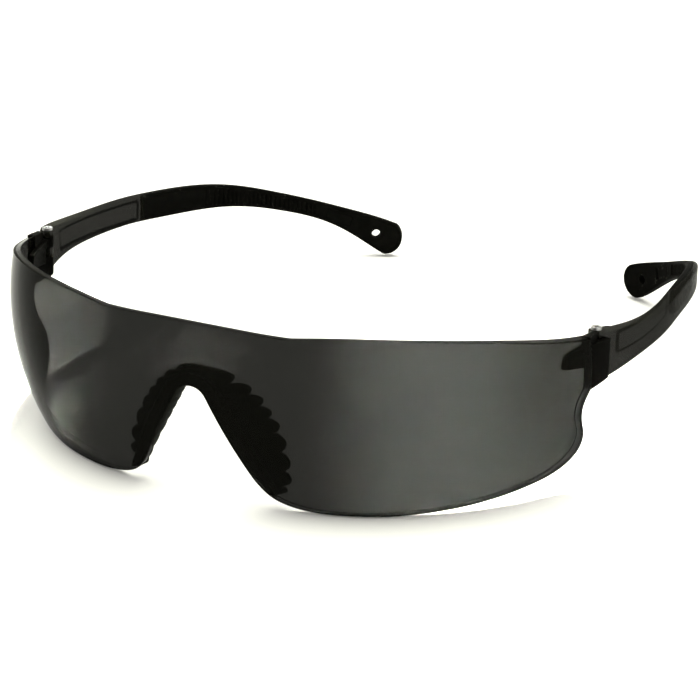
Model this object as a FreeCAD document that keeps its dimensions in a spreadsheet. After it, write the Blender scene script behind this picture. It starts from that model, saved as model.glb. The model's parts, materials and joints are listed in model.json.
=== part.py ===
import FreeCAD, Part
import math
import os
import Sketcher
from FreeCAD import Placement, Rotation
from FreeCAD import Vector as V

# Wraparound safety glasses: one curved visor lens, a soft nosepiece, two hinge blocks
# and two side arms (temples) with rubber grips.
# Lens frame used while modelling: +X towards the wearer's left, +Y from the lens back to
# the ears, +Z up, Y = 0 at the middle of the lens front and Z = 0 at its equator.
# The finished pieces are then tipped and moved so that the lens and both temple tips
# stand on Z = 0, with the origin under the middle of the whole object.

DIMENSIONS = {
    "lens_radius": 59.9,
    "lens_thickness": 2.2,
    "lens_flat_half": 13.1,
    "lens_band_angle": 150.0,
    "pad_thickness": 1.5,
    "pad_flange": 3.0,
    "tooth_gap_radius": 0.55,
    "axis_across": 69.5,
    "axis_back": 52.2,
    "knuckle_radius": 1.5,
    "tongue_thickness": 1.4,
    "knuckle_top": 5.4,
    "block_bottom": -6.0,
    "slot_floor": 0.7,
    "slot_roof": 3.1,
    "ear_radius": 1.75,
    "ear_top": 7.15,
    "play": 0.1,
    "screw_radius": 0.65,
    "running_gap": 0.05,
    "screw_head_radius": 1.2,
    "screw_head_height": 0.6,
    "screw_bottom": -1.6,
    "cross_width": 0.32,
    "cross_depth": 0.3,
    "arm_thickness": 2.8,
    "arm_corner": 0.7,
    "panel_depth": 0.45,
    "panel_height": 4.6,
    "rib_width": 0.7,
    "rib_depth": 0.4,
    "lanyard_radius": 1.15,
    "rest_tilt": 3.41,
}

doc = FreeCAD.newDocument("SafetyGlasses")
sheet = doc.addObject("Spreadsheet::Sheet", "Dimensions")
for row, (alias, value) in enumerate(DIMENSIONS.items(), start=1):
    sheet.set("A%d" % row, alias)
    sheet.set("B%d" % row, str(value))
    sheet.setAlias("B%d" % row, alias)
doc.recompute()


def dim(alias):
    return float(sheet.get(alias))


def bind(target, prop, expression):
    """Bind a property to the sheet; a cell is written as <alias>."""
    target.setExpression(prop, expression.replace("<", "Dimensions.").replace(">", ""))


def new_body(name):
    body = doc.addObject("PartDesign::Body", name)
    body.Label = name
    return body


def new_sketch(body, name, role, edges=(), offset=None):
    sketch = body.newObject("Sketcher::SketchObject", name)
    plane = [f for f in body.Origin.OriginFeatures if f.Role == role][0]
    sketch.AttachmentSupport = [(plane, "")]
    sketch.MapMode = "FlatFace"
    if offset is not None:
        sketch.AttachmentOffset = offset
    for edge in edges:
        sketch.addGeometry(edge, False)
    return sketch


def line(start, end):
    return Part.LineSegment(V(*start, 0), V(*end, 0))


def arc(start, middle, end):
    return Part.Arc(V(*start, 0), V(*middle, 0), V(*end, 0))


def spline(points):
    curve = Part.BSplineCurve()
    curve.interpolate([V(*p, 0) for p in points])
    return curve


def chain(points):
    """Straight edges through the points, left open."""
    return [line(a, b) for a, b in zip(points, points[1:])]


def polygon(points):
    return chain(points + points[:1])


def on_circle(centre, radius, degrees):
    angle = math.radians(degrees)
    return (centre[0] + radius * math.cos(angle), centre[1] + radius * math.sin(angle))


def level(height_expression):
    """Offset that lifts a sketch on the XY plane to a height."""
    return Placement(V(0, 0, dim(height_expression)), Rotation())


def circle_sketch(body, name, centre, radius_expression, height="slot_floor"):
    sketch = new_sketch(body, name, "XY_Plane", offset=level(height))
    bind(sketch, "AttachmentOffset.Base.z", "<" + height + ">")
    index = sketch.addGeometry(Part.Circle(V(*centre, 0), V(0, 0, 1), 1.0), False)
    number = sketch.addConstraint(Sketcher.Constraint("Radius", index, 1.0))
    bind(sketch, "Constraints[%d]" % number, radius_expression)
    return sketch


def pad(body, sketch, name, length_expression, symmetric=False):
    feature = body.newObject("PartDesign::Pad", name)
    feature.Profile = sketch
    if symmetric:
        feature.SideType = "Symmetric"
    bind(feature, "Length", length_expression)
    return feature


def cut_through(body, sketch, name):
    """Pocket both ways through everything, checked by volume."""
    doc.recompute()
    before = body.Shape.Volume
    feature = body.newObject("PartDesign::Pocket", name)
    feature.Profile = sketch
    feature.SideType = "Symmetric"
    feature.Type = "ThroughAll"
    doc.recompute()
    if not body.Shape.Volume < before - 0.001:
        raise RuntimeError(name + " removed nothing")
    return feature


def boolean(kind, name, base, tool):
    result = doc.addObject("Part::" + kind, name)
    result.Base = base
    result.Tool = tool
    result.Label = name
    return result


# ---------------------------------------------------------------- lens

RADIUS = dim("lens_radius")
THICKNESS = dim("lens_thickness")
FLAT = dim("lens_flat_half")


def lens_back(x, z):
    """Y of the inside of the lens at a place seen from the front."""
    across = max(abs(x) - FLAT, 0.0)
    return RADIUS - math.sqrt((RADIUS - THICKNESS) ** 2 - across ** 2 - z ** 2)


def shell_section():
    """Half ring with a straight middle, drawn about the centre of curvature."""
    inner = RADIUS - THICKNESS
    ends = (-90, -48, -6)
    right, left = (FLAT, 0), (-FLAT, 0)
    outer_right = [on_circle(right, RADIUS, a) for a in ends]
    inner_right = [on_circle(right, inner, a) for a in ends]
    outer_left = [(-x, y) for x, y in outer_right]
    inner_left = [(-x, y) for x, y in inner_right]
    return [
        line(outer_left[0], outer_right[0]),
        arc(*outer_right),
        line(outer_right[2], inner_right[2]),
        arc(*inner_right[::-1]),
        line(inner_right[0], inner_left[0]),
        arc(*inner_left),
        line(inner_left[2], outer_left[2]),
        arc(*outer_left[::-1]),
    ]


NOTCH_APEX = (0.0, -3.2)
NOTCH_SHOULDER = (3.9, -5.8)
NOTCH_FOOT = (13.4, -23.2)
BROW_CORNER = (22.0, 10.3)
BROW_SIDE = [BROW_CORNER, (30.0, 11.1), (44.0, 11.4), (60.0, 10.0), (71.0, 6.6), (78.0, 3.4)]
CHEEK = [NOTCH_FOOT, (16.6, -26.9), (21.0, -28.8), (32.0, -29.6), (42.0, -29.3), (51.0, -28.3)]
CUT_SIDE = 78.0


def mirror(points):
    return [(-x, z) for x, z in points][::-1]


def front_outline():
    """The visor seen from the front: brow, open sides, cheek curves and nose notch."""
    right_side = chain([BROW_SIDE[-1], (CUT_SIDE, CHEEK[-1][1]), CHEEK[-1]])
    left_side = chain([mirror(CHEEK)[0], (-CUT_SIDE, CHEEK[-1][1]), mirror(BROW_SIDE)[0]])
    return (
        [line((-BROW_CORNER[0], BROW_CORNER[1]), BROW_CORNER), spline(BROW_SIDE)]
        + right_side
        + [spline(CHEEK[::-1]), line(NOTCH_FOOT, NOTCH_SHOULDER)]
        + [arc(NOTCH_SHOULDER, NOTCH_APEX, (-NOTCH_SHOULDER[0], NOTCH_SHOULDER[1]))]
        + [line((-NOTCH_SHOULDER[0], NOTCH_SHOULDER[1]), (-NOTCH_FOOT[0], NOTCH_FOOT[1]))]
        + [spline(mirror(CHEEK)[::-1])]
        + left_side
        + [spline(mirror(BROW_SIDE))]
    )


REAR_TOP = (46.2, 10.0)
REAR_HINGE = (46.9, -4.6)
REAR_NOTCH = [REAR_HINGE, (45.3, -7.8), (46.0, -11.6), (48.2, -15.4), (48.5, -18.8),
              (45.4, -22.2), (41.0, -24.0)]
SIDE_BOTTOM = [(41.0, -24.0), (27.0, -27.3), (14.0, -29.7), (-4.0, -33.0)]


def side_waste():
    """What is cleared away seen from the side: behind the rear edge and below the cheek."""
    return (
        chain([SIDE_BOTTOM[-1], (-4.0, -50.0), (90.0, -50.0), (90.0, 30.0), (46.2, 30.0), REAR_TOP])
        + [line(REAR_TOP, REAR_HINGE), spline(REAR_NOTCH), spline(SIDE_BOTTOM)]
    )


def make_lens():
    body = new_body("lens")
    section = new_sketch(body, "LensSection", "XY_Plane", shell_section(),
                         Placement(V(0, RADIUS, 0), Rotation()))
    bind(section, "AttachmentOffset.Base.y", "<lens_radius>")
    shell = body.newObject("PartDesign::Revolution", "LensShell")
    shell.Profile = section
    shell.ReferenceAxis = (section, ["H_Axis"])
    shell.Midplane = True
    bind(shell, "Angle", "<lens_band_angle>")
    frame = polygon([(-95, -70), (95, -70), (95, 70), (-95, 70)])
    cut_through(body, new_sketch(body, "FrontOutline", "XZ_Plane", frame + front_outline()),
                "FrontTrim")
    cut_through(body, new_sketch(body, "SideOutline", "YZ_Plane", side_waste()), "SideTrim")
    return body


# ---------------------------------------------------------------- nosepiece

# Each station is a place on the notch edge and where the soft wing ends beyond it,
# both seen from the front, with how far the wing reaches back from the lens.
WING_STATIONS = [
    ((0.0, -3.2), (0.0, -1.1), 4.7),
    ((1.3, -3.35), (2.9, -1.25), 5.1),
    ((2.4, -3.7), (5.6, -1.8), 5.6),
    ((3.9, -5.8), (9.4, -4.0), 6.4),
    ((5.1, -8.0), (12.1, -6.4), 7.0),
    ((6.3, -10.2), (14.1, -8.9), 6.9),
    ((7.6, -12.6), (15.9, -11.6), 6.7),
    ((9.3, -15.7), (17.6, -15.2), 6.0),
    ((11.4, -19.5), (18.9, -19.5), 4.6),
    ((13.4, -23.2), (19.2, -23.4), 3.3),
    ((15.2, -26.0), (18.4, -26.9), 2.6),
]
ROOT_DEPTH = 1.2
ROOT_INSET = 0.3


def wing_section(reach, back):
    """Curved web in a plane square to the notch edge: x outwards, y backwards."""
    web = dim("pad_thickness")
    flange = dim("pad_flange")
    inner = (ROOT_INSET, -ROOT_DEPTH)
    outer = (flange, -ROOT_DEPTH)
    rim_back = (reach, back)
    rim_front = (reach + 0.15, back - web)
    return [
        arc(inner, (ROOT_INSET + 0.11 * reach, 0.66 * back), rim_back),
        line(rim_back, rim_front),
        arc(rim_front, (0.5 * (flange + reach) + 0.1 * reach - 0.8, 0.3 * back), outer),
        line(outer, inner),
    ]


def wing_sketch(body, name, side, station):
    (edge_x, edge_z), (tip_x, tip_z), back = station
    across, up = side * (tip_x - edge_x), tip_z - edge_z
    turn = Rotation(V(0, 1, 0), -math.degrees(math.atan2(up, across)))
    place = Placement(V(side * edge_x, lens_back(edge_x, edge_z), edge_z), turn)
    section = wing_section(math.hypot(across, up), back)
    return new_sketch(body, name, "XY_Plane", section, place)


def make_nosepiece(lens):
    body = new_body("nosepiece_form")
    sketches = []
    for number in range(len(WING_STATIONS) - 1, 0, -1):
        sketches.append(wing_sketch(body, "RightWing%d" % number, -1, WING_STATIONS[number]))
    for number, station in enumerate(WING_STATIONS):
        sketches.append(wing_sketch(body, "LeftWing%d" % number, 1, station))
    loft = body.newObject("PartDesign::AdditiveLoft", "WingLoft")
    loft.Profile = sketches[0]
    loft.Sections = sketches[1:]
    gaps = []
    for side in (-1, 1):
        for number in range(2, len(WING_STATIONS) - 1):
            (edge_a, tip_a, back_a), (edge_b, tip_b, back_b) = WING_STATIONS[number:number + 2]
            x, z = (tip_a[0] + tip_b[0]) / 2, (tip_a[1] + tip_b[1]) / 2
            y = (lens_back(*edge_a) + back_a + lens_back(*edge_b) + back_b) / 2
            gap = doc.addObject("Part::Cylinder", "ToothGap")
            bind(gap, "Radius", "<tooth_gap_radius>")
            gap.Height = 6
            out = V(side * (x - (edge_a[0] + edge_b[0]) / 2), 0, z - (edge_a[1] + edge_b[1]) / 2)
            axis = V(0, 1, 0) - out.normalize() * 0.25
            turn = Rotation(V(0, 0, 1), axis)
            centre = V(side * x, y, z) - turn.multVec(V(0, 0, 3.5))
            gap.Placement = Placement(centre, turn)
            gaps.append(gap)
    comb = doc.addObject("Part::Compound", "ToothGaps")
    comb.Links = gaps
    toothed = boolean("Cut", "nosepiece_toothed", body, comb)
    return boolean("Cut", "nosepiece", toothed, lens)


# ---------------------------------------------------------------- hinge block

AXIS = (dim("axis_across"), dim("axis_back"))
BLOCK_FRONT = 46.0
BLOCK_REAR = 53.4
BLOCK_INSIDE = 69.5
WALL_INSIDE = 71.7
SLOT_FRONT = 50.4


def block_plan():
    """Block seen from above: behind the lens edge, round at the hinge axis."""
    radius = dim("knuckle_radius")
    rear = on_circle(AXIS, radius, 60)
    side = on_circle(AXIS, radius, 180)
    front = on_circle(AXIS, radius, 225)
    outer_front = (71.0, BLOCK_FRONT)
    outer_rear = (72.5, BLOCK_REAR)
    return [
        line((BLOCK_INSIDE, BLOCK_FRONT), outer_front),
        arc(outer_front, (71.9, 49.6), outer_rear),
        line(outer_rear, (rear[0], BLOCK_REAR)),
        line((rear[0], BLOCK_REAR), rear),
        arc(rear, on_circle(AXIS, radius, 120), side),
        arc(side, on_circle(AXIS, radius, 200), front),
        line(front, (BLOCK_INSIDE, BLOCK_FRONT)),
    ]


def tongue_side():
    """Wedge tongue against the inside of the lens, seen from the side."""
    return polygon([(42.0, 3.9), (41.3, 0.6), (50.2, -0.4), (50.2, 5.0)])


def backing_ball(name, radius_expression):
    ball = doc.addObject("Part::Sphere", name)
    bind(ball, "Radius", radius_expression)
    ball.Placement = Placement(V(FLAT, RADIUS, 0), Rotation())
    return ball


def make_tongue():
    """The tongue is the side outline kept between two balls, so it follows the lens."""
    body = new_body("hinge_tongue_form")
    place = Placement(V(0, 0, 64.0), Rotation())
    pad(body, new_sketch(body, "TongueSide", "YZ_Plane", tongue_side(), place), "TonguePad", "8")
    outer = backing_ball("BackingOuter", "<lens_radius> - 1")
    inner = backing_ball("BackingInner", "<lens_radius> - <lens_thickness> - <tongue_thickness>")
    kept = boolean("Common", "hinge_tongue_kept", body, outer)
    return boolean("Cut", "hinge_tongue", kept, inner)


def make_block(lens):
    body = new_body("hinge_block_form")
    plan = new_sketch(body, "BlockPlan", "XY_Plane", block_plan(), level("block_bottom"))
    bind(plan, "AttachmentOffset.Base.z", "<block_bottom>")
    pad(body, plan, "BlockPad", "<knuckle_top> - <block_bottom>")
    bottom = polygon([(40.0, -5.8), (60.0, -2.3), (60.0, -9.0), (40.0, -9.0)])
    cut_through(body, new_sketch(body, "BlockUnderside", "YZ_Plane", bottom), "BlockSlope")
    tongued = boolean("Fuse", "hinge_block_tongued", body, make_tongue())
    slot = new_body("hinge_slot_form")
    slot_plan = polygon([(60.0, SLOT_FRONT), (WALL_INSIDE, SLOT_FRONT), (WALL_INSIDE, 60.0),
                         (60.0, 60.0)])
    sketch = new_sketch(slot, "SlotPlan", "XY_Plane", slot_plan, level("slot_floor"))
    bind(sketch, "AttachmentOffset.Base.z", "<slot_floor>")
    pad(slot, sketch, "SlotPad", "<slot_roof> - <slot_floor>")
    slotted = boolean("Cut", "hinge_block_slotted", tongued, slot)
    bore = cylinder("BlockBore", "<screw_radius>", dim("screw_bottom"), 20.0)
    bored = boolean("Cut", "hinge_block_bored", slotted, bore)
    return boolean("Cut", "hinge_block_left", bored, lens)


def cylinder(name, radius_expression, bottom, height):
    """Upright cylinder on the hinge axis."""
    tube = doc.addObject("Part::Cylinder", name)
    bind(tube, "Radius", radius_expression)
    tube.Height = height
    tube.Placement = Placement(V(AXIS[0], AXIS[1], bottom), Rotation())
    return tube


# ---------------------------------------------------------------- temple

# Stations along the arm: across, back, height of the middle, full height.
ARM_STATIONS = [
    (71.0, 53.8, 1.9, 10.6),
    (72.6, 60.9, 2.2, 8.8),
    (73.3, 69.7, 2.3, 7.3),
    (72.8, 81.6, 2.4, 6.7),
    (70.7, 95.1, 2.3, 6.6),
    (67.8, 109.3, 1.4, 6.5),
    (63.7, 123.5, -0.1, 5.7),
    (58.3, 135.3, -2.8, 4.8),
    (51.7, 146.8, -6.7, 4.5),
    (44.7, 155.2, -10.9, 5.9),
    (38.2, 160.3, -14.8, 8.6),
    (31.8, 163.2, -17.4, 9.0),
]
TIP_ROUND = 4.6
TIP_SLOPE = 20
GRIP_START = 4
CORE_END = 8
HOLE_STATION = 10


def heading(number):
    """Inward turn of the arm in degrees at a station, from its neighbours."""
    before = ARM_STATIONS[max(number - 1, 0)]
    after = ARM_STATIONS[min(number + 1, len(ARM_STATIONS) - 1)]
    return math.degrees(math.atan2(before[0] - after[0], after[1] - before[1]))


def along_arm(position):
    """Across, back, middle, height and heading at a fractional station number."""
    number = min(int(position), len(ARM_STATIONS) - 2)
    share = position - number
    start = ARM_STATIONS[number] + (heading(number),)
    end = ARM_STATIONS[number + 1] + (heading(number + 1),)
    return [a + (b - a) * share for a, b in zip(start, end)]


def beside_arm(position, inward):
    """Plan point beside the arm's centre line, towards the head."""
    across, back, middle, height, turn = along_arm(position)
    angle = math.radians(turn)
    return (across - inward * math.cos(angle), back - inward * math.sin(angle))


def arm_section(height):
    """Upright rounded bar: x through the thickness, y up."""
    half = dim("arm_thickness") / 2
    tall = height / 2
    corner = dim("arm_corner")
    cut = corner * (1 - math.sqrt(0.5))
    quarter = [
        line((half, -tall + corner), (half, tall - corner)),
        arc((half, tall - corner), (half - cut, tall - cut), (half - corner, tall)),
        line((half - corner, tall), (-half + corner, tall)),
        arc((-half + corner, tall), (-half + cut, tall - cut), (-half, tall - corner)),
        line((-half, tall - corner), (-half, -tall + corner)),
        arc((-half, -tall + corner), (-half + cut, -tall + cut), (-half + corner, -tall)),
        line((-half + corner, -tall), (half - corner, -tall)),
        arc((half - corner, -tall), (half - cut, -tall + cut), (half, -tall + corner)),
    ]
    return quarter


def upright(across, back, up, turn):
    """Offset on the XZ plane: a vertical plane square to the arm's heading."""
    return Placement(V(across, up, -back), Rotation(V(0, 1, 0), turn))


def make_arm_form():
    """The whole outer form of the arm and its paddle tip, before it is split."""
    body = new_body("arm_form")
    sketches = []
    for number, (across, back, up, height) in enumerate(ARM_STATIONS):
        place = upright(across, back, up, heading(number))
        sketches.append(new_sketch(body, "Arm%d" % number, "XZ_Plane", arm_section(height), place))
    loft = body.newObject("PartDesign::AdditiveLoft", "ArmLoft")
    loft.Profile = sketches[0]
    loft.Sections = sketches[1:]
    across, back, up, height = ARM_STATIONS[-1]
    last = heading(len(ARM_STATIONS) - 1)
    # This sketch looks through the thickness: x runs out of the arm's end, sloping down with it.
    place = upright(across, back, up, last + 90)
    place.Rotation = place.Rotation.multiply(Rotation(V(0, 0, 1), -TIP_SLOPE))
    start = -TIP_ROUND - 0.4
    high = TIP_ROUND * 2
    waste = [arc((start, TIP_ROUND), (start + TIP_ROUND, 0), (start, -TIP_ROUND))]
    waste += chain([(start, -TIP_ROUND), (start, -high), (high, -high), (high, high),
                    (start, high), (start, TIP_ROUND)])
    cut_through(body, new_sketch(body, "TipRound", "XZ_Plane", waste, place), "TipTrim")
    return body


def make_core_zone():
    """Plan region kept for the clear core: all of the front, then the outer skin."""
    body = new_body("core_zone")
    join = beside_arm(GRIP_START, 0.1)
    inside = beside_arm(GRIP_START, 4.0)
    skin = [join] + [beside_arm(number, -0.2) for number in range(GRIP_START + 1, CORE_END)]
    skin.append(beside_arm(CORE_END, -0.6))
    outside = beside_arm(CORE_END, -8.0)
    edges = chain([skin[-1], outside, (95.0, outside[1]), (95.0, 45.0), (60.0, 45.0), inside, join])
    sketch = new_sketch(body, "CoreZonePlan", "XY_Plane", edges + [spline(skin)])
    pad(body, sketch, "CoreZonePad", "<lens_radius>", symmetric=True)
    return body


def ear_plan():
    """Top ear seen from above: a disc on the axis, running back into the arm."""
    radius = dim("ear_radius")
    left, right = AXIS[0] - radius, AXIS[0] + radius
    return [arc((right, AXIS[1]), (AXIS[0], AXIS[1] - radius), (left, AXIS[1]))] + chain(
        [(left, AXIS[1]), (70.4, 56.2), (72.3, 56.2), (72.2, 54.0), (right, AXIS[1])])


def lower_ear_plan():
    """The smaller ear that turns inside the block's slot."""
    radius = dim("knuckle_radius")
    left, right = AXIS[0] - radius, AXIS[0] + radius
    return [arc((right, AXIS[1]), (AXIS[0], AXIS[1] - radius), (left, AXIS[1]))] + chain(
        [(left, AXIS[1]), (70.4, 56.0), (71.5, 56.0), (right, AXIS[1])])


def make_ears():
    body = new_body("ears_form")
    upper = new_sketch(body, "UpperEar", "XY_Plane", ear_plan(), level("ear_top"))
    bind(upper, "AttachmentOffset.Base.z", "<knuckle_top> + <play>")
    pad(body, upper, "UpperEarPad", "<ear_top> - <knuckle_top> - <play>")
    return body


def make_lower_ear():
    body = new_body("lower_ear_form")
    lower = new_sketch(body, "LowerEar", "XY_Plane", lower_ear_plan(), level("slot_floor"))
    bind(lower, "AttachmentOffset.Base.z", "<slot_floor> + <play>")
    pad(body, lower, "LowerEarPad", "<slot_roof> - <slot_floor> - 2 * <play>")
    return body


PANEL_POSITIONS = (0.9, 1.8, 2.8, 3.75)


def make_panel():
    """Shallow recess along the inner face of the clear front part of the arm."""
    body = new_body("panel_form")
    deep = dim("arm_thickness") / 2 - dim("panel_depth")
    inner = [beside_arm(position, deep) for position in PANEL_POSITIONS]
    outside = [beside_arm(position, deep + 2.0) for position in PANEL_POSITIONS]
    edges = [spline(inner), line(inner[-1], outside[-1]), spline(outside[::-1]),
             line(outside[0], inner[0])]
    place = Placement(V(0, 0, 0.1), Rotation())
    pad(body, new_sketch(body, "PanelPlan", "XY_Plane", edges, place), "PanelPad", "<panel_height>")
    return body


def make_temple(arm, zone):
    core = boolean("Common", "core_form", arm, zone)
    recessed = boolean("Cut", "core_recessed", core, make_panel())
    relief_height = dim("knuckle_top") + dim("play") + 10.0
    relief = cylinder("KnuckleRelief", "<knuckle_radius> + 0.3", -10.0, relief_height)
    relieved = boolean("Cut", "core_relieved", recessed, relief)
    upper = boolean("Fuse", "core_upper", relieved, make_ears())
    joined = boolean("Fuse", "core_joined", upper, make_lower_ear())
    bore = cylinder("EarBore", "<screw_radius> + <running_gap>", -10.0, 25.0)
    return boolean("Cut", "temple_left", joined, bore)


# ---------------------------------------------------------------- rubber grip

RIB_COUNT = 26
RIB_FIRST = 5.55
RIB_LAST = 8.15
THUMB_POSITION = 8.8


def arm_slope(position):
    """Fall of the arm's centre line in degrees at a fractional station number."""
    before, after = along_arm(position - 0.3), along_arm(position + 0.3)
    run = math.hypot(after[0] - before[0], after[1] - before[1])
    return math.degrees(math.atan2(after[2] - before[2], run))


def face_groove(name, position, width, height, slope=0.0):
    """Box sunk into the inner face of the arm at a place along it."""
    across, back, middle, full, turn = along_arm(position)
    groove = doc.addObject("Part::Box", name)
    bind(groove, "Length", "<rib_depth> + 1")
    groove.Width = width
    groove.Height = height
    rotation = Rotation(V(0, 0, 1), turn).multiply(Rotation(V(1, 0, 0), slope))
    corner = V(-dim("arm_thickness") / 2 - 1, -width / 2, -height / 2)
    groove.Placement = Placement(V(across, back, middle) + rotation.multVec(corner), rotation)
    return groove


def make_ribs():
    """Row of upright grooves and a smooth thumb recess on the inner face of the grip."""
    grooves = []
    for count in range(RIB_COUNT):
        position = RIB_FIRST + (RIB_LAST - RIB_FIRST) * count / (RIB_COUNT - 1)
        height = along_arm(position)[3] - 1.8
        grooves.append(face_groove("RibGroove", position, dim("rib_width"), height))
    slope = arm_slope(THUMB_POSITION)
    grooves.append(face_groove("ThumbRecess", THUMB_POSITION, 7.5, 2.9, slope))
    ribs = doc.addObject("Part::Compound", "RibGrooves")
    ribs.Links = grooves
    return ribs


def make_sleeve(arm, zone):
    rubber = boolean("Cut", "sleeve_form", arm, zone)
    ribbed = boolean("Cut", "sleeve_ribbed", rubber, make_ribs())
    hole = doc.addObject("Part::Cylinder", "LanyardHole")
    bind(hole, "Radius", "<lanyard_radius>")
    hole.Height = 12
    turn = math.radians(heading(HOLE_STATION))
    outward = V(math.cos(turn), math.sin(turn), 0)
    centre = V(*ARM_STATIONS[HOLE_STATION][:3])
    hole.Placement = Placement(centre - outward * 6, Rotation(V(0, 0, 1), outward))
    return boolean("Cut", "temple_sleeve_left", ribbed, hole)


# ---------------------------------------------------------------- hinge screw

def make_screw():
    body = new_body("hinge_screw_left")
    shank = circle_sketch(body, "ShankCircle", AXIS, "<screw_radius>", "screw_bottom")
    pad(body, shank, "Shank", "<ear_top> + 0.2 - <screw_bottom>")
    head = circle_sketch(body, "HeadCircle", AXIS, "<screw_head_radius>", "ear_top")
    bind(head, "AttachmentOffset.Base.z", "<ear_top> + <running_gap>")
    pad(body, head, "Head", "<screw_head_height>")
    top = dim("ear_top") + dim("running_gap") + dim("screw_head_height")
    wide, long = dim("cross_width") / 2, dim("screw_head_radius") * 0.72
    x, y = AXIS
    arms = [(long, wide), (wide, wide), (wide, long), (-wide, long), (-wide, wide), (-long, wide)]
    arms += [(-a, -b) for a, b in arms]
    cross = polygon([(x + a, y + b) for a, b in arms])
    place = Placement(V(0, 0, top), Rotation())
    pocket = body.newObject("PartDesign::Pocket", "CrossRecess")
    pocket.Profile = new_sketch(body, "Cross", "XY_Plane", cross, place)
    bind(pocket, "Length", "<cross_depth>")
    return body


# ---------------------------------------------------------------- assembly

def mirrored(source, name):
    copy = doc.addObject("Part::Mirroring", name)
    copy.Source = source
    copy.Normal = V(1, 0, 0)
    copy.Label = name
    return copy


lens = make_lens()
nosepiece = make_nosepiece(lens)
block = make_block(lens)
arm = make_arm_form()
zone = make_core_zone()
temple = make_temple(arm, zone)
sleeve = make_sleeve(arm, zone)
screw = make_screw()
pieces = [lens, nosepiece]
for piece in (block, temple, sleeve, screw):
    pieces += [piece, mirrored(piece, piece.Label.replace("_left", "_right"))]
doc.recompute()

# Stand the glasses on the lens's lower edge and the temple tips.
tilt = Rotation(V(1, 0, 0), -dim("rest_tilt"))
box = FreeCAD.BoundBox()
for piece in pieces:
    tipped = piece.Shape.copy()
    tipped.Placement = Placement(V(), tilt).multiply(tipped.Placement)
    box.add(tipped.optimalBoundingBox(False))
rest = Placement(V(0, -(box.YMin + box.YMax) / 2, -box.ZMin), tilt)
for piece in pieces:
    piece.Placement = rest

for item in doc.Objects:
    if "Invalid" in item.State or "Error" in item.State:
        raise RuntimeError(item.Label + " failed")
for piece in pieces:
    shape = piece.Shape
    if shape.isNull() or not shape.isValid() or len(shape.Solids) != 1:
        raise RuntimeError(piece.Label + " is not one sound solid")
os.makedirs("parts", exist_ok=True)
for piece in pieces:
    piece.Shape.exportStep("parts/%s.step" % piece.Label)
    print(piece.Label, "volume %.1f" % piece.Shape.Volume, "lowest %.2f" % piece.Shape.BoundBox.ZMin)
print("hinge", rest.multVec(V(*AXIS, 0)), tilt.multVec(V(0, 0, 1)))
hole_turn = math.radians(heading(HOLE_STATION))
print("lanyard hole", rest.multVec(V(*ARM_STATIONS[HOLE_STATION][:3])),
      tilt.multVec(V(math.cos(hole_turn), math.sin(hole_turn), 0)))
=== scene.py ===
import json
import math

import bmesh
import bpy
import numpy as np
from mathutils import Matrix, Vector


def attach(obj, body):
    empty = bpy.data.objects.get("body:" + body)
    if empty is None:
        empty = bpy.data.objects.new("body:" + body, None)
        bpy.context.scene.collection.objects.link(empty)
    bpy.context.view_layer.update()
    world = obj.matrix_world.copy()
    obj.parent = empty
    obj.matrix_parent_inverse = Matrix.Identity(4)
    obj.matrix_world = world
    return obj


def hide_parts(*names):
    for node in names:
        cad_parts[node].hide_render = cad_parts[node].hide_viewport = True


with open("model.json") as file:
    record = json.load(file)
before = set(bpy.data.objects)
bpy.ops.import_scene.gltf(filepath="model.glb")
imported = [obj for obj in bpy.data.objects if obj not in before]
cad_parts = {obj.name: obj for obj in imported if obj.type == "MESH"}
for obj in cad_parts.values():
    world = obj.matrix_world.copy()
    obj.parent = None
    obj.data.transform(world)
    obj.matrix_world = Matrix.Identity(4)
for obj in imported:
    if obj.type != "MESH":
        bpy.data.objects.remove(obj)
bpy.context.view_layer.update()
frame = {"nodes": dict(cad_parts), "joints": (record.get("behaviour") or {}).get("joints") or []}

# ---------------------------------------------------------------- frame of the parts
# Shapes are written in millimetres in the lens's own frame: +X the wearer's left, +Y from
# the lens back to the ears, +Z up, Y = 0 at the lens front, Z = 0 at its equator. The fold
# joint's place and axis say how that frame stands in the row frame.

HINGE_PLAN = (69.5, 52.2)
fold = [j for j in frame["joints"] if j["name"] == "fold_left"][0]
REST = math.atan2(fold["axis"][1], fold["axis"][2])
TURN = np.array([[1, 0, 0],
                 [0, math.cos(REST), math.sin(REST)],
                 [0, -math.sin(REST), math.cos(REST)]])
BASE = np.array(fold["pos_m"]) - TURN @ np.array([*HINGE_PLAN, 0.0]) / 1000


def to_row(points):
    """Millimetres in the lens's frame to metres in the row frame."""
    return np.asarray(points, float) @ TURN.T / 1000 + BASE


def mesh_object(name, points, faces, body):
    """A smooth piece from points in the lens's frame, riding on one body."""
    mesh = bpy.data.meshes.new(name)
    mesh.from_pydata([tuple(p) for p in to_row(points)], [], faces)
    mesh.validate()
    mesh.update()
    mesh.polygons.foreach_set("use_smooth", [True] * len(mesh.polygons))
    piece = bpy.data.objects.new(name, mesh)
    bpy.context.scene.collection.objects.link(piece)
    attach(piece, body)
    return piece


def bevel(piece, width_mm):
    modifier = piece.modifiers.new("Edges", "BEVEL")
    modifier.width = width_mm / 1000
    modifier.segments = 2
    modifier.limit_method = "ANGLE"
    modifier.angle_limit = math.radians(35)
    modifier.harden_normals = True


# ---------------------------------------------------------------- curves

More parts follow.
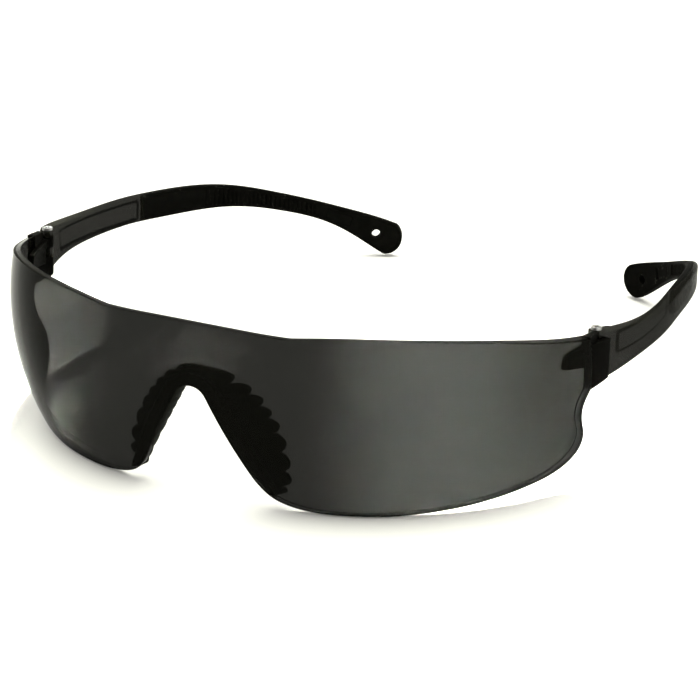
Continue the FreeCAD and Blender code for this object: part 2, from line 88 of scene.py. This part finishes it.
def natural_spline(points, places=None):
    """Natural cubic spline through points; returns a function of the place along it."""
    points = np.asarray(points, float)
    if places is None:
        steps = np.linalg.norm(np.diff(points, axis=0), axis=1)
        places = np.concatenate([[0], np.cumsum(steps)])
    places = np.asarray(places, float)
    gaps = np.diff(places)
    count = len(points)
    matrix = np.eye(count)
    right = np.zeros_like(points)
    for i in range(1, count - 1):
        matrix[i, i - 1:i + 2] = gaps[i - 1], 2 * (gaps[i - 1] + gaps[i]), gaps[i]
        right[i] = 6 * ((points[i + 1] - points[i]) / gaps[i]
                        - (points[i] - points[i - 1]) / gaps[i - 1])
    bend = np.linalg.solve(matrix, right)

    def at(where):
        where = np.atleast_1d(np.asarray(where, float))
        i = np.clip(np.searchsorted(places, where, side="right") - 1, 0, count - 2)
        gap = gaps[i][:, None]
        a = (places[i + 1] - where)[:, None]
        b = (where - places[i])[:, None]
        return (bend[i] * a ** 3 / (6 * gap) + bend[i + 1] * b ** 3 / (6 * gap)
                + (points[i] / gap - bend[i] * gap / 6) * a
                + (points[i + 1] / gap - bend[i + 1] * gap / 6) * b)

    at.end = places[-1]
    return at


def sample(points, count):
    curve = natural_spline(points)
    return curve(np.linspace(0, curve.end, count))


def straight(start, end, count):
    share = np.linspace(0, 1, count)[:, None]
    return np.asarray(start) * (1 - share) + np.asarray(end) * share


def join(*runs):
    """Runs end to end, without the doubled points."""
    return np.concatenate([runs[0]] + [run[1:] for run in runs[1:]])


def respace(path, places, key):
    """Points of a path where its key values equal the places."""
    return np.stack([np.interp(places, key, path[:, k]) for k in range(path.shape[1])], 1)


def smooth_step(value):
    value = np.clip(value, 0, 1)
    return value * value * (3 - 2 * value)


# ---------------------------------------------------------------- lens
# The lens's middle curves up and down only, and runs into a sphere on each side. Its brow
# and lower edge are drawn as seen from the front (x, z), its rear edge from the side (y, z).

LENS_RADIUS = 59.9
LENS_THICKNESS = 2.2
FLAT = 13.1
NOTCH_APEX = (0.0, -3.2)
NOTCH_SHOULDER = (3.9, -5.8)
NOTCH_FOOT = (13.4, -23.2)
BROW_CORNER = (22.0, 10.3)
BROW_SIDE = [BROW_CORNER, (30.0, 11.1), (44.0, 11.4), (60.0, 10.0), (71.0, 6.6), (78.0, 3.4)]
CHEEK = [NOTCH_FOOT, (16.6, -26.9), (21.0, -28.8), (32.0, -29.6), (42.0, -29.3), (51.0, -28.3)]
REAR_TOP = (46.2, 10.0)
REAR_HINGE = (46.9, -4.6)
REAR_NOTCH = [REAR_HINGE, (45.3, -7.8), (46.0, -11.6), (48.2, -15.4), (48.5, -18.8),
              (45.4, -22.2), (41.0, -24.0)]
REAR_CORNER = (47.7, -20.7)
SIDE_BOTTOM = [(41.0, -24.0), (27.0, -27.3), (14.0, -29.7), (-4.0, -33.0)]
CURVE_STEPS = 400
REAR_STEPS = 240
COLUMNS = 170
ROWS = 60
CREASE_FOOT = (2.6, -4.0)
CREASE_DEPTH = 0.16
CREASE_WIDTH = 9
# The front and back surfaces stand inside the lens's radius by these.
SHELL_INSETS = (0.2, 1.95)
# The rim's outer and inner strips are dark, with a clear strip between these shares.
RIM_SHARES = (0.34, 0.86)
# The mesh is fine at the rim, so Blender narrows this rounding to fit it.
EDGE_ROUNDING = 0.2


def from_front(xz, radius):
    """Unrolled place (round, up) on a lens surface of points seen from the front."""
    across = np.maximum(xz[:, 0] - FLAT, 0)
    reach = np.sqrt(np.maximum(radius ** 2 - across ** 2 - xz[:, 1] ** 2, 0))
    turn = np.arctan2(across, reach)
    return np.stack([np.minimum(xz[:, 0], FLAT) + turn * LENS_RADIUS, xz[:, 1]], 1)


def from_side(yz, radius):
    """The same for points seen from the side."""
    reach = LENS_RADIUS - yz[:, 0]
    across = np.sqrt(radius ** 2 - reach ** 2 - yz[:, 1] ** 2)
    return np.stack([FLAT + np.arctan2(across, reach) * LENS_RADIUS, yz[:, 1]], 1)


def lens_point(unrolled, radius):
    around, up = unrolled[..., 0], unrolled[..., 1]
    turn = np.maximum(around - FLAT, 0) / LENS_RADIUS
    level = np.sqrt(radius ** 2 - up ** 2)
    return np.stack([np.minimum(around, FLAT) + level * np.sin(turn),
                     LENS_RADIUS - level * np.cos(turn), up], -1)


def lens_back(x, z):
    across = np.maximum(np.abs(x) - FLAT, 0)
    inner = LENS_RADIUS - LENS_THICKNESS
    return LENS_RADIUS - np.sqrt(inner ** 2 - across ** 2 - np.asarray(z) ** 2)


def front_depth(xz, radius):
    across = np.maximum(xz[:, 0] - FLAT, 0)
    return LENS_RADIUS - np.sqrt(np.maximum(radius ** 2 - across ** 2 - xz[:, 1] ** 2, 0))


def lens_edges(radius):
    """Brow, lower edge and rear edge of one surface, in unrolled places."""
    brow = join(straight((0, BROW_CORNER[1]), BROW_CORNER, 60), sample(BROW_SIDE, CURVE_STEPS))
    depth = front_depth(brow, radius)
    slope = (REAR_HINGE[0] - REAR_TOP[0]) / (REAR_TOP[1] - REAR_HINGE[1])
    rear = REAR_TOP[0] + (REAR_TOP[1] - brow[:, 1]) * slope
    last = int(np.argmax(depth >= rear))
    share = (rear[last - 1] - depth[last - 1]) / (depth[last] - depth[last - 1])
    end = brow[last - 1] + share * (brow[last] - brow[last - 1])
    top = from_front(np.vstack([brow[:last], end]), radius)
    end_side = np.array([REAR_TOP[0] + (REAR_TOP[1] - end[1]) * slope, end[1]])

    rise = NOTCH_APEX[1] - NOTCH_SHOULDER[1]
    bow = (NOTCH_SHOULDER[0] ** 2 + rise ** 2) / (2 * rise)
    sweep = np.linspace(0, math.asin(NOTCH_SHOULDER[0] / bow), 24)
    apex = np.stack([bow * np.sin(sweep), NOTCH_APEX[1] - bow * (1 - np.cos(sweep))], 1)
    cheek = sample(CHEEK, CURVE_STEPS)
    side = sample(SIDE_BOTTOM, CURVE_STEPS)[::-1]
    floor = np.interp(front_depth(cheek, radius), side[:, 0], side[:, 1])
    cross = int(np.argmax(cheek[:, 1] < floor)) or len(cheek)
    meet = front_depth(cheek[:cross], radius)[-1]
    under = side[side[:, 0] > meet + 0.3]
    rear_curve = sample(REAR_NOTCH, REAR_STEPS)
    corner = int(np.argmin(np.linalg.norm(rear_curve - REAR_CORNER, axis=1)))
    lower = np.concatenate([
        from_front(join(apex, straight(NOTCH_SHOULDER, NOTCH_FOOT, 50), cheek[:cross]), radius),
        from_side(under, radius),
        from_side(rear_curve[corner:-1][::-1], radius)])
    back = from_side(np.vstack([rear_curve[:corner + 1][::-1],
                                straight(REAR_HINGE, end_side, 40)[1:]]), radius)
    return top, lower, back


def lens_grid(radius):
    """A patch of unrolled places that meets the middle and all three edges."""
    top, lower, back = lens_edges(radius)
    share_u = np.linspace(0, 1, COLUMNS + 1)
    share_v = np.linspace(0, 1, ROWS + 1)
    top = respace(top, share_u * top[-1, 0], top[:, 0])
    lower = respace(lower, share_u * lower[-1, 0], np.maximum.accumulate(lower[:, 0]))
    along = np.concatenate([[0], np.cumsum(np.linalg.norm(np.diff(back, axis=0), axis=1))])
    back = respace(back, share_v * along[-1], along)
    front = straight(lower[0], top[0], ROWS + 1)
    u, v = share_u[:, None, None], share_v[None, :, None]
    return ((1 - v) * lower[:, None] + v * top[:, None]
            + (1 - u) * front[None] + u * back[None]
            - (1 - u) * (1 - v) * lower[0] - u * (1 - v) * lower[-1]
            - (1 - u) * v * top[0] - u * v * top[-1])


def crease(points):
    """Sinks the facet above the nose, bounded by lines from the notch up to the brow."""
    start, end = np.array(CREASE_FOOT), np.array(BROW_CORNER)
    run = (end - start) / np.linalg.norm(end - start)
    away = (points[..., 2] - start[1]) * run[0] - (points[..., 0] - start[0]) * run[1]
    points = points.copy()
    points[..., 1] += CREASE_DEPTH * smooth_step(away / CREASE_WIDTH)
    return points


def make_lens():
    shells = []
    for inset in SHELL_INSETS:
        radius = LENS_RADIUS - inset
        half = lens_point(lens_grid(radius), radius)
        if inset == SHELL_INSETS[0]:
            half = crease(half)
        other = half[:0:-1] * np.array([-1, 1, 1])
        shells.append(np.concatenate([other, half]))
    columns, rows = shells[0].shape[:2]
    points = np.concatenate([s.reshape(-1, 3) for s in shells])
    size = columns * rows

    def at(shell, i, j):
        return shell * size + i * rows + j

    faces = []
    for i in range(columns - 1):
        for j in range(rows - 1):
            quad = [at(0, i, j), at(0, i + 1, j), at(0, i + 1, j + 1), at(0, i, j + 1)]
            faces.append(quad)
            faces.append([q + size for q in quad[::-1]])
    rim = ([(i, 0) for i in range(columns)] + [(columns - 1, j) for j in range(1, rows)]
           + [(i, rows - 1) for i in range(columns - 2, -1, -1)]
           + [(0, j) for j in range(rows - 2, 0, -1)])
    outer = np.array([at(0, *place) for place in rim])
    added = len(points) + np.arange(2 * len(rim)).reshape(2, -1)
    rings = [outer, *added, outer + size]
    points = np.concatenate([points] + [(1 - share) * points[outer] + share * points[outer + size]
                                        for share in RIM_SHARES])
    start = len(faces)
    for near, far in zip(rings, rings[1:]):
        faces += np.stack([np.roll(near, -1), near, far, np.roll(far, -1)], 1).tolist()
    piece = mesh_object("visor_lens", points, faces, "front")
    bevel(piece, EDGE_ROUNDING)
    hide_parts("lens")
    dark_faces = [*range(start, start + len(rim)), *range(start + 2 * len(rim), len(faces))]
    return piece, dark_faces


lens, lens_dark_faces = make_lens()

# ---------------------------------------------------------------- nosepiece

# From the middle of the bridge down one side: the place on the notch's edge and the place
# of the wing's rim seen from the front, then how far behind the lens the rim stands.
WING_STATIONS = [
    ((0.0, -3.2), (0.0, -1.1), 4.7), ((1.3, -3.35), (2.9, -1.25), 5.1),
    ((2.4, -3.7), (5.6, -1.8), 5.6), ((3.9, -5.8), (9.4, -4.0), 6.4),
    ((5.1, -8.0), (12.1, -6.4), 7.0), ((6.3, -10.2), (14.1, -8.9), 6.9),
    ((7.6, -12.6), (15.9, -11.6), 6.7), ((9.3, -15.7), (17.6, -15.2), 6.0),
    ((11.4, -19.5), (18.9, -19.5), 4.6), ((13.4, -23.2), (19.2, -23.4), 3.3),
    ((15.2, -26.0), (18.4, -26.9), 2.6)]
FIRST_GAP = 2.5
TOOTH_DEPTH = 3.3
TOOTH_FULLNESS = 0.6
GROOVE_DEPTH = 0.32
WEB_THICKNESS = 1.4
ROOT_INSET = -0.1
ROOT_INSET_GAIN = 1.1
ROOT_WIDTH = 3.0
ROOT_DEPTH = 1.8
TIP_LENGTH = 0.45
STEPS_PER_STATION = 22


def arc(start, middle, end, shares):
    """Points at shares of the circular arc through three places."""
    start, middle, end = (complex(*p) for p in (start, middle, end))
    w = (end - start) / (middle - start)
    centre = start - (start - middle) * (w - abs(w) ** 2) / (2j * w.imag)
    turn = np.angle((end - centre) / (start - centre))
    if np.angle((middle - centre) / (start - centre)) * turn < 0:
        turn -= math.copysign(2 * math.pi, turn)
    points = centre + (start - centre) * np.exp(1j * turn * np.asarray(shares))
    return np.stack([points.real, points.imag], 1)


def tooth(place):
    """1 on a tooth's crest, 0 in the gap beside it, for a place in stations."""
    place = abs(place)
    wave = abs(math.cos(math.pi * place)) ** TOOTH_FULLNESS
    start = smooth_step((place - FIRST_GAP + 0.5) / 0.45)
    return float(1 - (1 - wave) * start)


def wing_loop(reach, back, crest, taper, inset):
    """Closed section of the web, square to the notch edge: x outwards, y backwards."""
    span = math.hypot(reach, back)
    end = (1 - TOOTH_DEPTH * (1 - crest) / span) * (0.45 + 0.55 * taper)
    shares = np.linspace(0, end, 16)
    inner = arc((inset, -ROOT_DEPTH), (0.3 + 0.11 * reach, 0.66 * back), (reach, back), shares)
    belly = 0.5 * ROOT_WIDTH + 0.6 * reach - 0.8
    outer = arc((ROOT_WIDTH, -ROOT_DEPTH), (belly, 0.3 * back),
                (reach + 0.15, back - WEB_THICKNESS), shares * 0.985)
    sink = GROOVE_DEPTH * (1 - crest) * smooth_step(shares / 0.3)[:, None]
    across = outer - inner
    across /= np.linalg.norm(across, axis=1)[:, None]
    inner = inner + across * sink
    outer = outer - across * sink * 0.6
    width = outer[-1] - inner[-1]
    ahead = inner[-1] - inner[-2]
    ahead /= np.linalg.norm(ahead)
    sweep = np.linspace(0, math.pi, 8)[1:-1, None]
    middle = (inner[-1] + outer[-1]) / 2
    rim = middle - width / 2 * np.cos(sweep) + ahead * np.linalg.norm(width) * 0.42 * np.sin(sweep)
    root = straight(outer[0], inner[0], 5)[1:-1]
    return np.vstack([inner, rim, outer[::-1], root])


def make_nosepiece():
    last = len(WING_STATIONS) - 1
    rows = [[*edge, *tip, back] for edge, tip, back in WING_STATIONS]
    mirrored = [[-r[0], r[1], -r[2], r[3], r[4]] for r in rows[:0:-1]]
    stations = natural_spline(mirrored + rows, range(-last, last + 1))
    places = np.linspace(-last, last, 2 * last * STEPS_PER_STATION + 1)
    loops = []
    for place, (edge_x, edge_z, tip_x, tip_z, back) in zip(places, stations(places)):
        out = np.array([tip_x - edge_x, tip_z - edge_z])
        reach = float(np.hypot(*out))
        out /= reach
        tail = max(abs(place) - last + TIP_LENGTH, 0) / TIP_LENGTH
        inset = ROOT_INSET + ROOT_INSET_GAIN * smooth_step((abs(place) - 7.5) / 2.5)
        loop = wing_loop(reach, back, tooth(place), math.sqrt(max(1 - tail ** 2, 0)), inset)
        loops.append(np.stack([edge_x + out[0] * loop[:, 0], lens_back(edge_x, edge_z) + loop[:, 1],
                               edge_z + out[1] * loop[:, 0]], 1))
    loops = np.stack(loops)
    count, size = loops.shape[:2]
    faces = []
    for i in range(count - 1):
        for j in range(size):
            k = (j + 1) % size
            faces.append([i * size + j, i * size + k, (i + 1) * size + k, (i + 1) * size + j])
    faces.append(list(range(size))[::-1])
    faces.append([(count - 1) * size + j for j in range(size)])
    piece = mesh_object("nose_pad", loops.reshape(-1, 3), faces, "front")
    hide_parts("nosepiece")
    return piece


nose_pad = make_nosepiece()

# ---------------------------------------------------------------- moulded parts

def prism(plan, bottom, top):
    """Points and faces of an upright solid over a plan, in the lens's frame."""
    count = len(plan)
    points = [(x, y, z) for z in (bottom, top) for x, y in plan]
    sides = [[i, (i + 1) % count, count + (i + 1) % count, count + i] for i in range(count)]
    return points, sides + [list(range(count))[::-1], list(range(count, 2 * count))]


def moulded(node_name, name, body, voxel_mm, rounds, extra=None):
    """A copy of a CAD solid, and what is added to it, with the soft edges of moulding."""
    mesh = frame["nodes"][node_name].data.copy()
    if extra:
        added = bmesh.new()
        added.from_mesh(mesh)
        points = [added.verts.new(p) for p in to_row(extra[0])]
        for face in extra[1]:
            added.faces.new([points[i] for i in face])
        bmesh.ops.recalc_face_normals(added, faces=added.faces[:])
        added.to_mesh(mesh)
        added.free()
    piece = bpy.data.objects.new(name, mesh)
    bpy.context.scene.collection.objects.link(piece)
    skin = piece.modifiers.new("Skin", "REMESH")
    skin.mode = "VOXEL"
    skin.voxel_size = voxel_mm / 1000
    skin.use_smooth_shade = True
    soften = piece.modifiers.new("Soften", "SMOOTH")
    soften.factor = 0.5
    soften.iterations = rounds
    made = bpy.data.meshes.new_from_object(piece.evaluated_get(bpy.context.evaluated_depsgraph_get()))
    made.name = name
    piece.modifiers.clear()
    piece.data = made
    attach(piece, body)
    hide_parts(node_name)
    return piece


def row_to_lens(points):
    return (np.asarray(points) - BASE) @ TURN * 1000


PANEL_MIDDLE = 2.4
PANEL_HALF = 2.3
PANEL_ENDS = (60.2, 92.6)
LINE_HALF = 0.38


def mark_panel(piece):
    """Painted shade along the border of the moulded recess on the arm's inner face, as its own darker
    finish.
    """
    mesh = piece.data
    centres = np.empty(len(mesh.polygons) * 3)
    normals = np.empty(len(mesh.polygons) * 3)
    mesh.polygons.foreach_get("center", centres)
    mesh.polygons.foreach_get("normal", normals)
    x, y, z = row_to_lens(centres.reshape(-1, 3)).T
    facing = (normals.reshape(-1, 3)[:, 0] * np.sign(x)) < 0.6
    high = np.abs(z - PANEL_MIDDLE)
    along = (y > PANEL_ENDS[0]) & (y < PANEL_ENDS[1]) & (np.abs(high - PANEL_HALF) < LINE_HALF)
    across = (np.abs(y - PANEL_ENDS[0]) < LINE_HALF) | (np.abs(y - PANEL_ENDS[1]) < LINE_HALF)
    # Faces along the recess border take the painted shade finish.
    dark = facing & (along | (across & (high < PANEL_HALF)))
    mesh.polygons.foreach_set("material_index", dark.astype(np.int32))


SIDES = ("left", "right")
grips = [moulded("temple_sleeve_" + s, "grip_" + s, "temple_" + s, 0.2, 3) for s in SIDES]
arms = [moulded("temple_" + s, "arm_" + s, "temple_" + s, 0.16, 2) for s in SIDES]


SHOULDER_PLAN = [(70.9, 45.9), (70.8, 50.1), (69.2, 50.1), (68.7, 45.9)]
SHOULDER_BOTTOM = 3.6
SHOULDER_TOP = 7.3


def shoulder(side):
    """Raised web that joins the lens's rear corner to the hinge."""
    sign = 1 if side == "left" else -1
    return prism([(sign * x, y) for x, y in SHOULDER_PLAN], SHOULDER_BOTTOM, SHOULDER_TOP)


blocks = [moulded("hinge_block_" + s, "hinge_" + s, "front", 0.14, 2, shoulder(s))
          for s in SIDES]

# ---------------------------------------------------------------- materials

def material(name):
    made = bpy.data.materials.new(name)
    made.use_nodes = True
    tree = made.node_tree
    shader = tree.nodes["Principled BSDF"]
    return made, tree, shader


def noise(tree, scale, detail):
    place = tree.nodes.new("ShaderNodeTexCoord")
    texture = tree.nodes.new("ShaderNodeTexNoise")
    texture.inputs["Scale"].default_value = scale
    texture.inputs["Detail"].default_value = detail
    tree.links.new(place.outputs["Object"], texture.inputs["Vector"])
    return texture.outputs["Fac"]


def ramp(tree, source, low, high):
    """Colours between low and high, over the middle of the source's range."""
    node = tree.nodes.new("ShaderNodeValToRGB")
    for stop, position, colour in zip(node.color_ramp.elements, (0.3, 0.7), (low, high)):
        stop.position = position
        stop.color = (*colour, 1)
    tree.links.new(source, node.inputs["Fac"])
    return node.outputs["Color"]


def grey(value):
    return (value, value, value)


def paint_edge_light_and_shade(tree, colour, painted_hollow_shade, painted_edge_highlight):
    """Painted shade makes hollows darker and a painted highlight makes raised edges lighter than the
    given colour.
    """
    shape = tree.nodes.new("ShaderNodeNewGeometry")
    # Pointiness under 0.49 blends in painted shade for hollows, full by 0.44; over 0.52 it blends in a
    # painted highlight for raised edges, full by 0.60.
    for tone, start, end in ((painted_hollow_shade, 0.49, 0.44), (painted_edge_highlight, 0.52, 0.60)):
        share = tree.nodes.new("ShaderNodeMapRange")
        share.inputs["From Min"].default_value = start
        share.inputs["From Max"].default_value = end
        mix = tree.nodes.new("ShaderNodeMix")
        mix.data_type = "RGBA"
        mix.inputs["B"].default_value = (*tone, 1)
        tree.links.new(shape.outputs["Pointiness"], share.inputs["Value"])
        tree.links.new(share.outputs["Result"], mix.inputs["Factor"])
        tree.links.new(colour, mix.inputs["A"])
        colour = mix.outputs["Result"]
    return colour


def bump(tree, shader, source, distance_mm):
    node = tree.nodes.new("ShaderNodeBump")
    node.inputs["Distance"].default_value = distance_mm / 1000
    node.inputs["Strength"].default_value = 1.0
    tree.links.new(source, node.inputs["Height"])
    tree.links.new(node.outputs["Normal"], shader.inputs["Normal"])


def smoke(name, low, high, alpha, rough, gloss, edge_highlight_gain=4):
    """Tinted clear plastic: faint clouding of the tint, painted shade in hollows and a painted
    highlight along raised edges, fine haze in the gloss.
    """
    made, tree, shader = material(name)
    colour = ramp(tree, noise(tree, 60, 2), low, high)
    # Painted shade in hollows at 0.3 of the low colour, and a painted highlight along raised edges at a
    # multiple of the high colour.
    colour = paint_edge_light_and_shade(tree, colour, tuple(v * 0.3 for v in low), tuple(v * edge_highlight_gain for v in high))
    tree.links.new(colour, shader.inputs["Base Color"])
    haze = ramp(tree, noise(tree, 900, 4), grey(rough * 0.7), grey(rough * 1.5))
    tree.links.new(haze, shader.inputs["Roughness"])
    shader.inputs["Alpha"].default_value = alpha
    shader.inputs["IOR"].default_value = 1.5
    shader.inputs["Specular IOR Level"].default_value = gloss
    return made


def dark_plastic(name, low, high, rough, gloss, grain, relief, edge_highlight_gain=3.5):
    """Near-black rubber, nylon or cut plastic with a fine grain, painted shade in hollows and a painted
    highlight along raised edges.
    """
    made, tree, shader = material(name)
    colour = ramp(tree, noise(tree, 500, 4), low, high)
    # Painted shade in hollows at 0.25 of the low colour, and a painted highlight along raised edges at
    # a multiple of the high colour.
    colour = paint_edge_light_and_shade(tree, colour, tuple(v * 0.25 for v in low), tuple(v * edge_highlight_gain for v in high))
    tree.links.new(colour, shader.inputs["Base Color"])
    tree.links.new(ramp(tree, noise(tree, 1500, 3), grey(rough[0]), grey(rough[1])),
                   shader.inputs["Roughness"])
    shader.inputs["Specular IOR Level"].default_value = gloss
    bump(tree, shader, noise(tree, grain, 2), relief)
    return made


# Each finish below gets painted shade in hollows and a painted highlight along raised edges; a last
# number, where given, scales that highlight.
lens_material = smoke("smoke_polycarbonate", (0.0022, 0.0022, 0.0017), (0.0030, 0.0030, 0.0024),
                      0.884, 0.05, 0.009)
lens_edge_material = dark_plastic("smoke_cut_edge", (0.0016, 0.0016, 0.0013), (0.0030, 0.0030, 0.0025),
                                  (0.12, 0.25), 0.0008, 2500, 0.004, 1.2)
arm_material = smoke("smoke_arm_clear", (0.0040, 0.0040, 0.0030), (0.0056, 0.0056, 0.0043),
                     0.885, 0.22, 0.0006, 1.5)
# A darker, less clear copy of the arm finish: painted shade for the border of the arm's recess.
arm_border_shade_material = smoke("smoke_arm_border_shade", (0.0016, 0.0016, 0.0012), (0.0026, 0.0026, 0.0020),
                          0.975, 0.22, 0.0006, 1.5)
rubber_material = dark_plastic("soft_rubber_black", (0.0032, 0.0032, 0.0027), (0.0046, 0.0046, 0.0038),
                               (0.42, 0.6), 0.006, 4000, 0.02)
grip_material = dark_plastic("grip_rubber_black", (0.0017, 0.0017, 0.0014), (0.0026, 0.0026, 0.0022),
                             (0.40, 0.58), 0.002, 4000, 0.02, 5)
nylon_material = dark_plastic("black_nylon_moulded", (0.0014, 0.0014, 0.0012), (0.0024, 0.0024, 0.0020),
                              (0.32, 0.5), 0.003, 5000, 0.015)

steel_material, tree, shader = material("screw_steel_bright")
tree.links.new(ramp(tree, noise(tree, 3000, 3), grey(0.24), grey(0.36)), shader.inputs["Base Color"])
tree.links.new(ramp(tree, noise(tree, 5000, 3), grey(0.26), grey(0.42)), shader.inputs["Roughness"])
shader.inputs["Metallic"].default_value = 1.0


def finish(piece, *made):
    piece.data.materials.clear()
    for each in made:
        piece.data.materials.append(each)


FINISH = {"lens": lens_material, "nosepiece": rubber_material, "hinge_block": nylon_material,
          "hinge_screw": steel_material, "temple_sleeve": grip_material, "temple": arm_material}
for name, node in frame["nodes"].items():
    finish(node, next(made for start, made in FINISH.items() if name.startswith(start)))
finish(lens, lens_material, lens_edge_material)
for face in lens_dark_faces:
    lens.data.polygons[face].material_index = 1
finish(nose_pad, rubber_material)
for group, made in ((grips, (grip_material,)), (blocks, (nylon_material,)),
                    (arms, (arm_material, arm_border_shade_material))):
    for piece in group:
        finish(piece, *made)
# The border of each arm's recess takes the painted shade finish.
for arm in arms:
    mark_panel(arm)

# ---------------------------------------------------------------- camera, light and floor

scene = bpy.context.scene
scene.view_settings.view_transform = "Standard"

# The camera stands about where the photographer stood, as fitted to the photograph: its
# place in the lens's frame, and its azimuth, elevation and roll in degrees.
CAMERA_PLACE = (291.92, -494.30, 196.62)
CAMERA_ANGLES = (27.222, 18.415, 1.641)

camera_data = bpy.data.cameras.new("camera")
camera_data.sensor_width = 36
camera_data.lens = 149.43
camera_data.clip_start = 0.01
camera_data.clip_end = 20
camera = bpy.data.objects.new("camera", camera_data)
azimuth, elevation, roll = (math.radians(angle) for angle in CAMERA_ANGLES)
view = (Matrix.Rotation(azimuth, 3, "Z") @ Matrix.Rotation(math.pi / 2 - elevation, 3, "X")
        @ Matrix.Rotation(roll, 3, "Z"))
turn = Matrix(TURN.tolist()) @ view
camera.matrix_world = Matrix.Translation(Vector(to_row(CAMERA_PLACE))) @ turn.to_4x4()
scene.collection.objects.link(camera)
scene.camera = camera

FLOOR_HALF = 4
FLOOR_HEIGHT = -0.0002

floor_corners = [(x * FLOOR_HALF, y * FLOOR_HALF, FLOOR_HEIGHT)
                 for x, y in ((-1, -1), (1, -1), (1, 1), (-1, 1))]
floor_mesh = bpy.data.meshes.new("floor")
floor_mesh.from_pydata(floor_corners, [], [(0, 1, 2, 3)])
floor = bpy.data.objects.new("floor", floor_mesh)
scene.collection.objects.link(floor)
floor_material, tree, shader = material("pale_floor")
tree.links.new(ramp(tree, noise(tree, 3, 2), grey(0.93), grey(0.96)), shader.inputs["Base Color"])
shader.inputs["Roughness"].default_value = 0.9
shader.inputs["Specular IOR Level"].default_value = 0.1
floor_mesh.materials.append(floor_material)

world = bpy.data.worlds.new("studio")
world.use_nodes = True
world.node_tree.nodes["Background"].inputs["Color"].default_value = (1.0, 0.99, 0.92, 1)
world.node_tree.nodes["Background"].inputs["Strength"].default_value = 1.0
scene.world = world


LAMP_COLOUR = (0.99, 1.0, 0.86)


def softbox(name, place, target, size, watts, spread=180):
    """A rectangular lamp aimed at a target, with its light held inside a spread in degrees."""
    data = bpy.data.lights.new(name, "AREA")
    data.shape = "RECTANGLE"
    data.size, data.size_y = size
    data.energy = watts
    data.color = LAMP_COLOUR
    data.spread = math.radians(spread)
    lamp = bpy.data.objects.new(name, data)
    lamp.location = place
    aim = Vector(target) - Vector(place)
    lamp.rotation_euler = aim.to_track_quat("-Z", "Y").to_euler()
    scene.collection.objects.link(lamp)


# From above and behind the object, on the camera's far side, 30 degrees off the vertical.
POOL_DISTANCE = 0.7
POOL_FROM = Vector((-0.467 * 0.5, 0.884 * 0.5, 0.866))


def back_pool(name, spot, width, length, watts, spread=5):
    """A narrow softbox behind the object that lights one strip of the floor."""
    target = Vector((*spot, 0.0))
    softbox(name, target + POOL_DISTANCE * POOL_FROM, target, (width, length), watts, spread)


softbox("overhead", (0.0, 0.1, 1.3), (0, 0, 0), (1.2, 1.2), 20)
back_pool("pool_right_peak", (0.0255, -0.016), 0.010, 0.16, 0.100)
back_pool("pool_right_wide", (0.0345, -0.011), 0.020, 0.16, 0.044)
back_pool("pool_middle", (-0.0455, -0.005), 0.008, 0.012, 0.0030, 2.5)
back_pool("pool_end", (0.059, -0.002), 0.010, 0.10, 0.014, 2.5)
back_pool("pool_left", (-0.0688, -0.0340), 0.009, 0.12, 0.050, 2.2)
